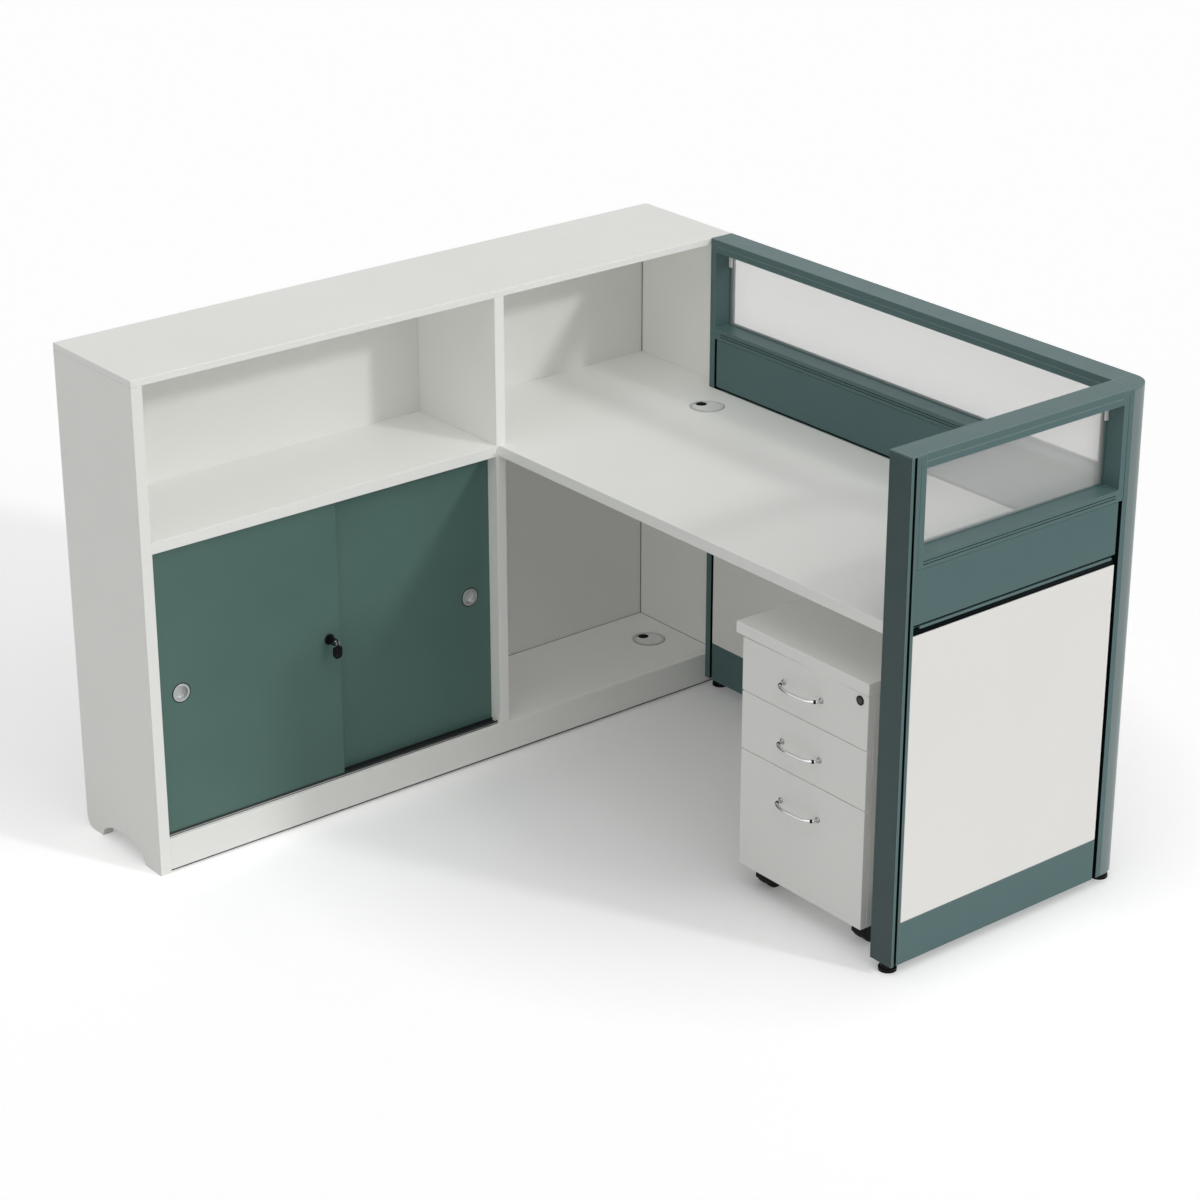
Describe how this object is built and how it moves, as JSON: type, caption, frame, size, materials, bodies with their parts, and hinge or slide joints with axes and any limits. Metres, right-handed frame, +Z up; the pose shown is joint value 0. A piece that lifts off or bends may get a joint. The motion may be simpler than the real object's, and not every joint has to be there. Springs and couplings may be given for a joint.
{
  "type": "cubicle workstation",
  "caption": "L-shaped cubicle workstation: storage cabinet with sliding doors, desk, glazed corner partitions and a mobile drawer pedestal.",
  "frame": {"origin": "on the floor, under the middle of the footprint", "axes": "+Z up, +X from the cabinet towards the end partition, +Y from the user's side towards the long partition"},
  "size_m": [1.56, 1.56, 1.1],
  "materials": {
    "white_board": "white melamine-faced board, satin",
    "door_board": "blue-green melamine-faced board, satin",
    "frame_paint": "blue-green powder-coated section, satin",
    "blue_tile": "blue-green coated board tile, satin",
    "white_tile": "white coated board tile, satin",
    "clear_glass": "clear pane with a light grey tint",
    "track_aluminium": "anodised section",
    "satin_metal": "satin nickel",
    "chrome": "bright chrome",
    "steel": "zinc-plated",
    "black_plastic": "black moulded",
    "wheel_plastic": "black moulded tread",
    "grommet_plastic": "pale grey moulded",
    "drawer_shell": "white-faced drawer board"
  },
  "bodies": {
    "station": {"cabinet_left_end": "white_board", "cabinet_right_end": "white_board", "cabinet_divider": "white_board", "cabinet_top": "white_board", "niche_shelf": "white_board", "cabinet_floor": "white_board", "cabinet_back": "white_board", "plinth_rails": "white_board", "inner_shelf": "white_board", "shelf_pins": "steel", "door_tracks": "track_aluminium", "desk_top": "white_board", "desk_brackets": "steel", "grommet_rings": "grommet_plastic", "long_uprights": "frame_paint", "end_uprights": "frame_paint", "top_caps": "frame_paint", "sill_rails": "frame_paint", "glass_panes": "clear_glass", "upper_tiles": "blue_tile", "lower_tiles": "white_tile", "inner_rails": "frame_paint", "kickplates": "frame_paint", "corner_post": "frame_paint", "corner_post_cap": "frame_paint"},
    "front_door": {"front_door": "door_board", "front_door_pull": "satin_metal", "push_lock_housing": "black_plastic"},
    "rear_door": {"rear_door": "door_board", "rear_door_pull": "satin_metal"},
    "lock_plunger": {"push_lock_plunger": "black_plastic"},
    "key": {"key_core": "satin_metal"},
    "key_head": {"key_head": "black_plastic"},
    "desk_cap": {"desk_grommet_cap": "grommet_plastic"},
    "bay_cap": {"bay_grommet_cap": "grommet_plastic"},
    "side_foot": {"cabinet_side_foot": "black_plastic"},
    "corner_foot": {"corner_foot": "black_plastic"},
    "end_foot": {"free_end_foot": "black_plastic"},
    "pedestal": {"pedestal_top": "white_board", "pedestal_carcase": "white_board", "pedestal_runners": "steel"},
    "upper_drawer": {"upper_drawer_front": "white_board", "upper_drawer_box": "drawer_shell", "upper_drawer_handle": "chrome", "drawer_lock_housing": "black_plastic"},
    "middle_drawer": {"middle_drawer_front": "white_board", "middle_drawer_box": "drawer_shell", "middle_drawer_handle": "chrome"},
    "lower_drawer": {"lower_drawer_front": "white_board", "lower_drawer_box": "drawer_shell", "lower_drawer_handle": "chrome"},
    "drawer_lock": {"drawer_lock_plug": "steel"},
    "front_left_fork": {"front_left_caster_hood": "black_plastic"},
    "front_left_wheels": {"front_left_caster_wheels": "wheel_plastic"},
    "front_right_fork": {"front_right_caster_hood": "black_plastic"},
    "front_right_wheels": {"front_right_caster_wheels": "wheel_plastic"},
    "back_left_fork": {"back_left_caster_hood": "black_plastic"},
    "back_left_wheels": {"back_left_caster_wheels": "wheel_plastic"},
    "back_right_fork": {"back_right_caster_hood": "black_plastic"},
    "back_right_wheels": {"back_right_caster_wheels": "wheel_plastic"}
  },
  "joints": [
    {"name": "front_door_slide", "type": "slide", "parent": "station", "child": "front_door", "axis": [0, 1, 0], "range_m": [0, 0.41]},
    {"name": "rear_door_slide", "type": "slide", "parent": "station", "child": "rear_door", "axis": [0, -1, 0], "range_m": [0, 0.41]},
    {"name": "lock_push", "type": "slide", "parent": "front_door", "child": "lock_plunger", "axis": [-1, 0, 0], "range_m": [0, 0.012], "stiffness_N_per_m": 150, "springref_m": -0.002},
    {"name": "key_turn", "type": "hinge", "parent": "lock_plunger", "child": "key", "pos_m": [-0.475, -0.33, 0.414], "axis": [1, 0, 0], "range_deg": [0, 90]},
    {"name": "key_fold", "type": "hinge", "parent": "key", "child": "key_head", "pos_m": [-0.4615, -0.33, 0.414], "axis": [0, -1, 0], "range_deg": [0, 90]},
    {"name": "desk_cap_turn", "type": "hinge", "parent": "station", "child": "desk_cap", "pos_m": [-0.383, 0.63, 0.75], "axis": [0, 0, 1], "continuous": true},
    {"name": "bay_cap_turn", "type": "hinge", "parent": "station", "child": "bay_cap", "pos_m": [-0.63, 0.671, 0.08], "axis": [0, 0, 1], "continuous": true},
    {"name": "side_foot_turn", "type": "hinge", "parent": "station", "child": "side_foot", "pos_m": [-0.458, 0.75, 0.01], "axis": [0, 0, 1], "continuous": true},
    {"name": "corner_foot_turn", "type": "hinge", "parent": "station", "child": "corner_foot", "pos_m": [0.75, 0.75, 0.01], "axis": [0, 0, 1], "continuous": true},
    {"name": "end_foot_turn", "type": "hinge", "parent": "station", "child": "end_foot", "pos_m": [0.75, 0.14, 0.01], "axis": [0, 0, 1], "continuous": true},
    {"name": "pedestal_roll", "type": "slide", "parent": "station", "child": "pedestal", "axis": [0, -1, 0], "range_m": [0, 0.6]},
    {"name": "upper_drawer_slide", "type": "slide", "parent": "pedestal", "child": "upper_drawer", "axis": [0, -1, 0], "range_m": [0, 0.3]},
    {"name": "middle_drawer_slide", "type": "slide", "parent": "pedestal", "child": "middle_drawer", "axis": [0, -1, 0], "range_m": [0, 0.3]},
    {"name": "lower_drawer_slide", "type": "slide", "parent": "pedestal", "child": "lower_drawer", "axis": [0, -1, 0], "range_m": [0, 0.3]},
    {"name": "drawer_lock_turn", "type": "hinge", "parent": "upper_drawer", "child": "drawer_lock", "pos_m": [0.651, 0.14, 0.555], "axis": [0, 1, 0], "range_deg": [0, 90]},
    {"name": "front_left_swivel", "type": "hinge", "parent": "pedestal", "child": "front_left_fork", "pos_m": [0.346, 0.175, 0.05], "axis": [0, 0, 1], "continuous": true},
    {"name": "front_left_spin", "type": "hinge", "parent": "front_left_fork", "child": "front_left_wheels", "pos_m": [0.346, 0.193, 0.025], "axis": [1, 0, 0], "continuous": true},
    {"name": "front_right_swivel", "type": "hinge", "parent": "pedestal", "child": "front_right_fork", "pos_m": [0.636, 0.175, 0.05], "axis": [0, 0, 1], "continuous": true},
    {"name": "front_right_spin", "type": "hinge", "parent": "front_right_fork", "child": "front_right_wheels", "pos_m": [0.636, 0.193, 0.025], "axis": [1, 0, 0], "continuous": true},
    {"name": "back_left_swivel", "type": "hinge", "parent": "pedestal", "child": "back_left_fork", "pos_m": [0.346, 0.577, 0.05], "axis": [0, 0, 1], "continuous": true},
    {"name": "back_left_spin", "type": "hinge", "parent": "back_left_fork", "child": "back_left_wheels", "pos_m": [0.346, 0.595, 0.025], "axis": [1, 0, 0], "continuous": true},
    {"name": "back_right_swivel", "type": "hinge", "parent": "pedestal", "child": "back_right_fork", "pos_m": [0.636, 0.577, 0.05], "axis": [0, 0, 1], "continuous": true},
    {"name": "back_right_spin", "type": "hinge", "parent": "back_right_fork", "child": "back_right_wheels", "pos_m": [0.636, 0.595, 0.025], "axis": [1, 0, 0], "continuous": true}
  ]
}
